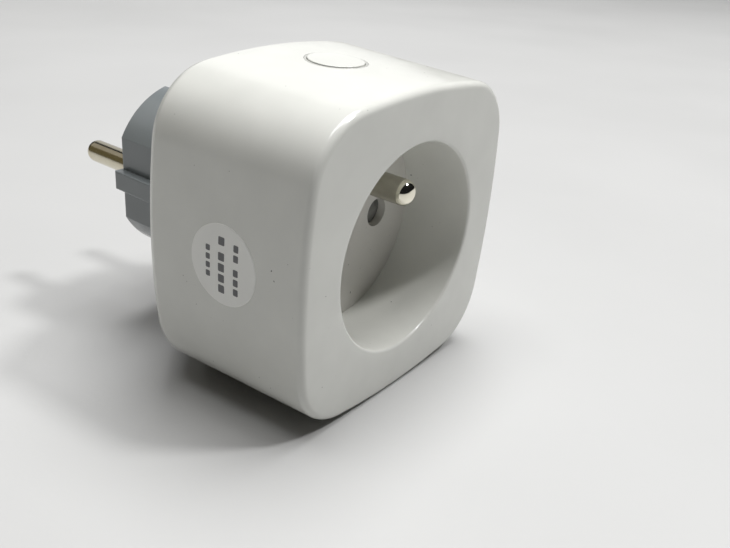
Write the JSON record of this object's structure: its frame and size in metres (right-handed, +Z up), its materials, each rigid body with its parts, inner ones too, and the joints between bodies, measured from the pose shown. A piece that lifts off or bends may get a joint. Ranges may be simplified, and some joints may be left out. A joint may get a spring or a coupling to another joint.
{
  "type": "smart plug",
  "caption": "Compact switched mains adapter: rounded cube with a socket recess and earth pin in front, a plug with round pins behind, and a top push button.",
  "frame": {"origin": "bottom centre of the whole object, in the middle of its length from the socket face to the pin tips", "axes": "+Y along the socket and plug axis from the socket face to the pin tips, +Z up towards the button, +X to the right seen from the socket face"},
  "size_m": [0.0604, 0.08, 0.0603],
  "materials": {
    "white_shell": "fine satin moulding",
    "recess_white": "fine satin moulding",
    "grey_plastic": "satin moulding, bluish grey",
    "light_guide": "translucent",
    "shutter_grey": "moulded",
    "carrier_plastic": "moulded",
    "nickel": "nickel plated, polished",
    "contact_brass": "stamped strip",
    "spring_steel": "drawn",
    "iron": "zinc plated",
    "copper_wire": "enamelled wire",
    "relay_plastic": "moulded",
    "relay_base_plastic": "moulded",
    "board": "solder mask over glass laminate",
    "black_epoxy": "moulded",
    "switch_plastic": "moulded",
    "led": "clear",
    "shield_tin": "tinned",
    "can_aluminium": "sleeved can",
    "film_capacitor": "moulded box",
    "varistor_coat": "dipped coating",
    "resistor_ceramic": "coated",
    "shunt_alloy": "bare alloy",
    "label": null
  },
  "bodies": {
    "casing": {"front_housing": "white_shell", "socket_face": "recess_white", "rear_cover": "grey_plastic", "plug_plate": "grey_plastic", "light_ring": "light_guide", "contact_carrier": "carrier_plastic", "line_pin": "nickel", "neutral_pin": "nickel", "earth_pin": "nickel", "plug_earth_tube": "nickel", "earth_clip_top": "nickel", "earth_clip_bottom": "nickel", "line_clip": "contact_brass", "neutral_clip": "contact_brass", "earth_bar": "contact_brass", "relay_fixed_contact": "contact_brass", "shutter_spring": "spring_steel", "housing_screws": "spring_steel", "antenna": "spring_steel", "relay_yoke": "iron", "relay_winding": "copper_wire", "relay_cover": "relay_plastic", "relay_base": "relay_base_plastic", "relay_bobbin": "relay_base_plastic", "power_board": "board", "radio_board": "board", "power_chip": "black_epoxy", "rectifier": "black_epoxy", "radio_chip": "black_epoxy", "board_header": "black_epoxy", "switch_body": "black_epoxy", "inductor": "black_epoxy", "status_light": "led", "radio_shield": "shield_tin", "bulk_capacitor": "can_aluminium", "filter_capacitor": "film_capacitor", "varistor": "varistor_coat", "fuse_resistor": "resistor_ceramic", "metering_shunt": "shunt_alloy", "rating_sticker": "label"},
    "button": {"push_button": "white_shell"},
    "plunger": {"switch_plunger": "switch_plastic"},
    "shutter_slider": {"shutter": "shutter_grey"},
    "armature": {"relay_armature": "iron", "relay_moving_contact": "contact_brass"}
  },
  "joints": [
    {"name": "button_press", "type": "slide", "parent": "casing", "child": "button", "axis": [0, 0, -1], "range_m": [0, 0.00045], "stiffness_N_per_m": 400, "springref_m": -0.002},
    {"name": "plunger_press", "type": "slide", "parent": "casing", "child": "plunger", "axis": [0, 0, -1], "range_m": [0, 0.00045]},
    {"name": "shutter_slide", "type": "slide", "parent": "casing", "child": "shutter_slider", "axis": [0, 0, -1], "range_m": [0, 0.0068], "stiffness_N_per_m": 60, "springref_m": -0.01, "deforming": ["shutter_spring"]},
    {"name": "armature_rock", "type": "hinge", "parent": "casing", "child": "armature", "pos_m": [-0.0146, -0.01515, 0.01257], "axis": [0, 0, 1], "range_deg": [0, 2.6], "stiffness_Nm_per_rad": 0.02, "springref_deg": -11.46}
  ],
  "couplings": [
    {"joint": "plunger_press", "follows": "button_press", "ratio": 1}
  ]
}
